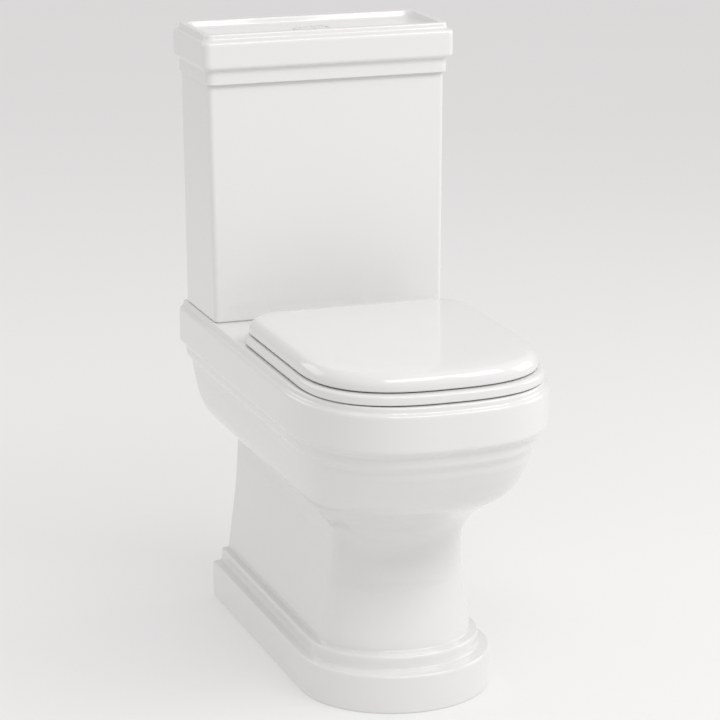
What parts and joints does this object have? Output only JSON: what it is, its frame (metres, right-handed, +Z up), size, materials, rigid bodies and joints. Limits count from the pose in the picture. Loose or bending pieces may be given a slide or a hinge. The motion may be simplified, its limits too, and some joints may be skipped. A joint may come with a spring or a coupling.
{
  "type": "close coupled toilet",
  "caption": "Floor-standing close coupled toilet: stepped pedestal pan, tapered cistern with tray-topped lid, flush valves, D-shaped seat and cover.",
  "frame": {"origin": "on the floor, below the middle of the object's box; the wall plane is half the depth behind it", "axes": "+Z up, +Y from the pan's front towards the wall, +X to the right of someone facing the front"},
  "size_m": [0.367, 0.653, 0.862],
  "materials": {
    "china": "white vitreous china under a glossy clear glaze",
    "seat_plastic": "polished white thermoset",
    "white_plastic": "moulded satin",
    "grey_plastic": "moulded satin",
    "blue_plastic": "moulded satin",
    "black_rubber": "matt",
    "buffer_rubber": "matt translucent grey",
    "button_plastic": "polished moulding",
    "chrome": "polished",
    "steel": "satin",
    "brass": "dull, as machined"
  },
  "bodies": {
    "pan_and_cistern": {"pan_body": "china", "pan_bowl": "china", "pan_trap": "china", "pan_inlet": "china", "cistern": "china", "flush_valve_body": "white_plastic", "flush_valve_backnut": "white_plastic", "fill_valve_riser": "white_plastic", "fill_valve_backnut": "white_plastic", "hinge_nut_left": "white_plastic", "hinge_nut_right": "white_plastic", "fill_valve_head": "grey_plastic", "coupling_gasket": "black_rubber", "bolt_seal_left": "black_rubber", "bolt_seal_right": "black_rubber", "flush_valve_washer": "black_rubber", "fill_valve_washer": "black_rubber", "hinge_washer_left": "black_rubber", "hinge_washer_right": "black_rubber", "hinge_post_left": "chrome", "hinge_post_right": "chrome", "bolt_washer_left": "steel", "bolt_washer_right": "steel", "hinge_pin_left": "steel", "hinge_pin_right": "steel", "lever_pin": "steel", "coupling_bolt_left": "brass", "coupling_bolt_right": "brass", "wing_nut_left": "brass", "wing_nut_right": "brass"},
    "cistern_lid": {"cistern_lid": "china", "button_bezel": "button_plastic", "button_sleeve": "white_plastic", "button_nut": "white_plastic"},
    "full_flush_button": {"full_flush_button": "button_plastic"},
    "half_flush_button": {"half_flush_button": "button_plastic"},
    "flush_valve_float": {"overflow_tube": "blue_plastic", "flush_seal": "black_rubber"},
    "float_cup": {"float_cup": "white_plastic"},
    "float_lever": {"float_lever": "grey_plastic"},
    "seat_ring": {"seat_ring": "seat_plastic", "ring_buffer_1": "buffer_rubber", "ring_buffer_2": "buffer_rubber", "ring_buffer_3": "buffer_rubber", "ring_buffer_4": "buffer_rubber"},
    "seat_cover": {"seat_cover": "seat_plastic", "cover_buffer_left": "buffer_rubber", "cover_buffer_right": "buffer_rubber"}
  },
  "joints": [
    {"name": "cistern_lid_lift", "type": "slide", "parent": "pan_and_cistern", "child": "cistern_lid", "axis": [0, 0, 1], "range_m": [0, 0.2]},
    {"name": "full_flush_press", "type": "slide", "parent": "cistern_lid", "child": "full_flush_button", "axis": [0, 0, -1], "range_m": [0, 0.006], "stiffness_N_per_m": 400, "springref_m": -0.002},
    {"name": "half_flush_press", "type": "slide", "parent": "cistern_lid", "child": "half_flush_button", "axis": [0, 0, -1], "range_m": [0, 0.006], "stiffness_N_per_m": 400, "springref_m": -0.002},
    {"name": "flush_valve_rise", "type": "slide", "parent": "pan_and_cistern", "child": "flush_valve_float", "axis": [0, 0, 1], "range_m": [0, 0.018]},
    {"name": "float_fall", "type": "slide", "parent": "pan_and_cistern", "child": "float_cup", "axis": [0, 0, -1], "range_m": [0, 0.008]},
    {"name": "float_lever_tilt", "type": "hinge", "parent": "pan_and_cistern", "child": "float_lever", "pos_m": [-0.118, 0.2445, 0.7303], "axis": [0, 1, 0], "range_deg": [0, 15.5]},
    {"name": "seat_cover_hinge", "type": "hinge", "parent": "pan_and_cistern", "child": "seat_cover", "pos_m": [0, 0.1005, 0.473], "axis": [-1, 0, 0], "range_deg": [0, 96]},
    {"name": "seat_ring_hinge", "type": "hinge", "parent": "pan_and_cistern", "child": "seat_ring", "pos_m": [0, 0.1005, 0.473], "axis": [-1, 0, 0], "range_deg": [0, 96]}
  ],
  "couplings": [
    {"joint": "flush_valve_rise", "follows": "full_flush_press", "ratio": 3},
    {"joint": "float_lever_tilt", "follows": "float_fall", "rad_per_m": 33.333},
    {"joint": "seat_ring_hinge", "follows": "seat_cover_hinge", "ratio": 1}
  ]
}
